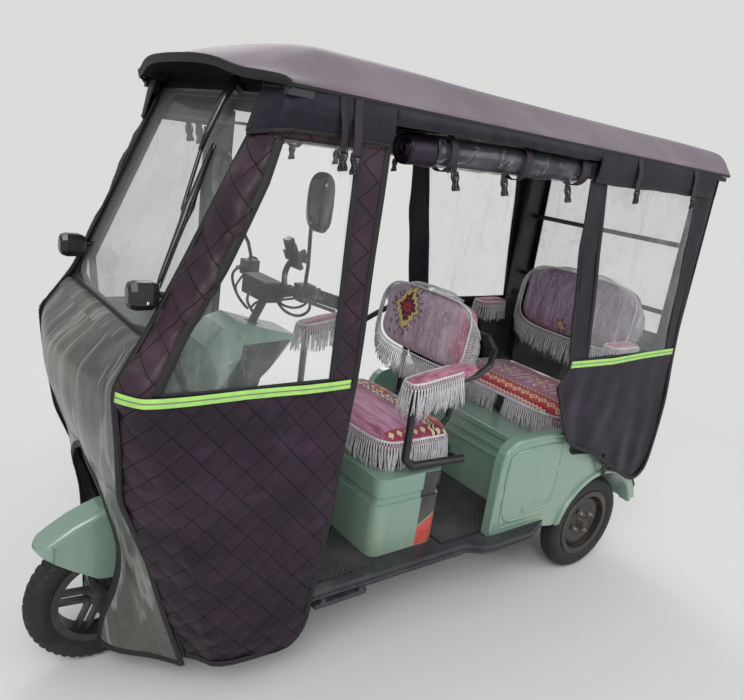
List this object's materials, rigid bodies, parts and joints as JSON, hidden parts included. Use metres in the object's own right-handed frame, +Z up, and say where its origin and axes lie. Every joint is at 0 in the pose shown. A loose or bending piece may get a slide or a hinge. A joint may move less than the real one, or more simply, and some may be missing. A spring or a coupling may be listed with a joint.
{
  "type": "auto rickshaw",
  "caption": "Small electric three-wheeled passenger rickshaw, mint-green body, plum roof, quilted rain curtains and fringed seat covers.",
  "frame": {"origin": "centre of the bounding box at ground level, under the vehicle", "axes": "+X to the vehicle's left side, -Y to its front, +Z up"},
  "size_m": [0.92, 2.422, 1.8325],
  "materials": {
    "black_steel": "satin",
    "dark_steel": "matte",
    "brown_steel": "satin",
    "black_alloy": "satin",
    "mint_paint": "gloss",
    "black_plastic": "matte",
    "battery_case": "matte",
    "black_rubber": "matte",
    "tyre_rubber": "matte",
    "lamp_glass": "gloss",
    "lamp_red": "gloss",
    "clear_glass": "gloss",
    "clear_sheet": "gloss",
    "dusty_sheet": "satin",
    "quilted_leather": "satin",
    "roof_vinyl": "satin",
    "carpet_cover": "velvet"
  },
  "bodies": {
    "body": {"chassis_frame": "black_steel", "rear_axle": "dark_steel", "floor_pan": "black_plastic", "floor_mats": "black_rubber", "leg_shield": "mint_paint", "dash_insert": "black_plastic", "head_lamp": "lamp_glass", "seat_box": "mint_paint", "battery_pack": "battery_case", "driver_cushion": "carpet_cover", "driver_seat_frame": "black_steel", "driver_backrest": "carpet_cover", "arm_pads": "carpet_cover", "bench_box": "mint_paint", "bench_side_guards": "black_plastic", "bench_cushion": "carpet_cover", "bench_backrest": "carpet_cover", "tail_panel": "mint_paint", "tail_lamps": "lamp_red", "side_panels": "mint_paint", "roof_shell": "roof_vinyl", "canopy_frame": "black_steel", "windshield_glass": "clear_glass", "windshield_frame": "black_plastic", "wiper": "black_rubber", "turn_signals": "black_plastic", "front_apron": "dusty_sheet", "front_curtains": "quilted_leather", "rear_curtains": "quilted_leather", "curtain_windows": "clear_sheet", "curtain_rolls": "clear_sheet", "back_curtain": "clear_sheet", "rear_bumper": "black_steel"},
    "steering": {"fork": "black_steel", "handlebar": "black_plastic", "mirrors": "black_plastic", "front_fender": "mint_paint"},
    "front_wheel": {"front_rim": "black_alloy", "front_tyre": "tyre_rubber"},
    "rear_wheel_left": {"rear_rim_left": "brown_steel", "rear_tyre_left": "tyre_rubber"},
    "rear_wheel_right": {"rear_rim_right": "brown_steel", "rear_tyre_right": "tyre_rubber"}
  },
  "joints": [
    {"name": "steering_turn", "type": "hinge", "parent": "body", "child": "steering", "pos_m": [0, -0.72854, 0.71056], "axis": [0, 0.4384, 0.8988], "range_deg": [-30, 30]},
    {"name": "front_wheel_spin", "type": "hinge", "parent": "steering", "child": "front_wheel", "pos_m": [0, -1, 0.211], "axis": [1, 0, 0], "continuous": true},
    {"name": "rear_left_wheel_spin", "type": "hinge", "parent": "body", "child": "rear_wheel_left", "pos_m": [0.348, 0.88, 0.211], "axis": [1, 0, 0], "continuous": true},
    {"name": "rear_right_wheel_spin", "type": "hinge", "parent": "body", "child": "rear_wheel_right", "pos_m": [-0.348, 0.88, 0.211], "axis": [1, 0, 0], "continuous": true}
  ]
}
